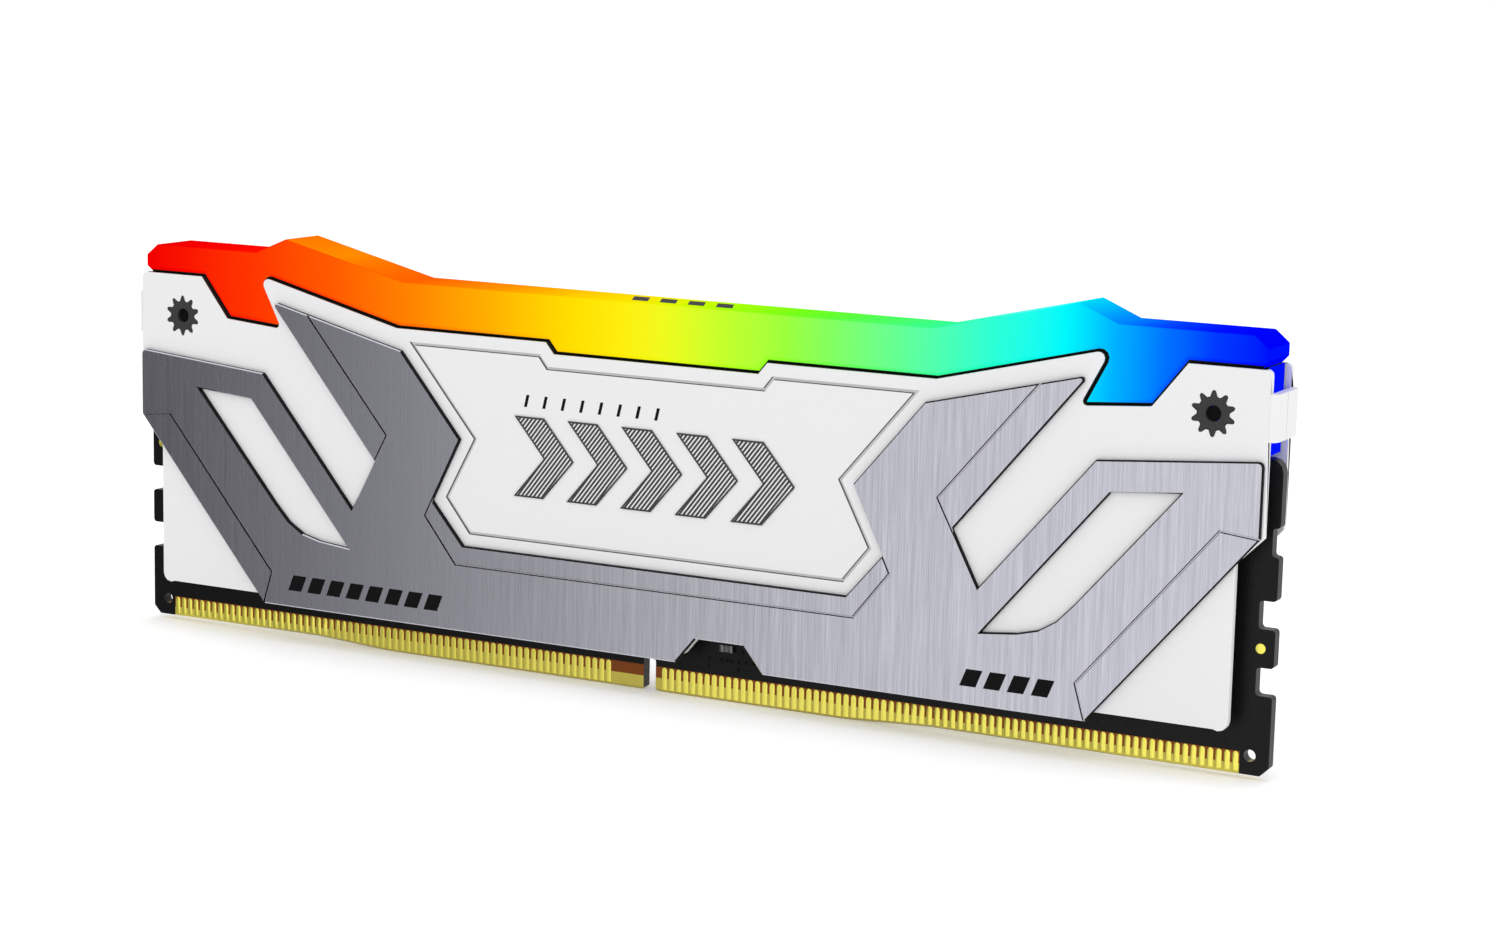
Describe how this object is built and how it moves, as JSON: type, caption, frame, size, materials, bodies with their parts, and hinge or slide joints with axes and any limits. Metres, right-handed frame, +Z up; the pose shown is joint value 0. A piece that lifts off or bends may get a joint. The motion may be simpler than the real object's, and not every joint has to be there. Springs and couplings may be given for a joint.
{
  "type": "ram module",
  "caption": "Desktop memory module with a gold contact edge, white heat spreaders, raised brushed accent plates and a translucent light bar along its top.",
  "frame": {"origin": "middle of the module's contact edge, at the lowest level of the edge and halfway through the board's thickness", "axes": "+X along the module's length, front face towards -Y, +Z up from the contact edge to the light bar"},
  "size_m": [0.1334, 0.0076, 0.0448],
  "materials": {
    "black_solder_mask": "satin black solder mask",
    "contact_gold": "bright gold plating",
    "white_paint": "satin white paint on aluminium",
    "brushed_aluminium": "finely brushed, anodised silver grey",
    "translucent_diffuser": "frosted translucent, lit from below in a run of colours along its length",
    "dark_insert": "matt dark grey",
    "black_steel": "blackened",
    "chip_moulding": "matt black moulding compound",
    "thermal_pad": "soft matt grey",
    "inductor_ferrite": "pressed ferrite",
    "capacitor_ceramic": "sintered ceramic",
    "led_package": "clear encapsulant over a white package"
  },
  "bodies": {
    "root": {"accent_plate_back": "brushed_aluminium", "accent_plate_front": "brushed_aluminium", "bulk_capacitor_1": "capacitor_ceramic", "bulk_capacitor_2": "capacitor_ceramic", "bulk_capacitor_3": "capacitor_ceramic", "bulk_capacitor_4": "capacitor_ceramic", "circuit_board": "black_solder_mask", "contacts_back_left": "contact_gold", "contacts_back_right": "contact_gold", "contacts_front_left": "contact_gold", "contacts_front_right": "contact_gold", "detect_hub": "chip_moulding", "heat_spreader_back": "white_paint", "heat_spreader_front": "white_paint", "led_1": "led_package", "led_10": "led_package", "led_2": "led_package", "led_3": "led_package", "led_4": "led_package", "led_5": "led_package", "led_6": "led_package", "led_7": "led_package", "led_8": "led_package", "led_9": "led_package", "light_bar": "translucent_diffuser", "light_controller": "chip_moulding", "memory_chip_back_1": "chip_moulding", "memory_chip_back_2": "chip_moulding", "memory_chip_back_3": "chip_moulding", "memory_chip_back_4": "chip_moulding", "memory_chip_back_5": "chip_moulding", "memory_chip_back_6": "chip_moulding", "memory_chip_back_7": "chip_moulding", "memory_chip_back_8": "chip_moulding", "memory_chip_front_1": "chip_moulding", "memory_chip_front_2": "chip_moulding", "memory_chip_front_3": "chip_moulding", "memory_chip_front_4": "chip_moulding", "memory_chip_front_5": "chip_moulding", "memory_chip_front_6": "chip_moulding", "memory_chip_front_7": "chip_moulding", "memory_chip_front_8": "chip_moulding", "power_chip_pad": "thermal_pad", "power_inductor_1": "inductor_ferrite", "power_inductor_2": "inductor_ferrite", "power_inductor_3": "inductor_ferrite", "power_management_chip": "chip_moulding", "star_insert_back_left": "dark_insert", "star_insert_back_right": "dark_insert", "star_insert_front_left": "dark_insert", "star_insert_front_right": "dark_insert", "thermal_pad_back": "thermal_pad", "thermal_pad_front": "thermal_pad", "through_pin_left": "black_steel", "through_pin_right": "black_steel", "window_capacitor": "capacitor_ceramic"}
  },
  "joints": []
}
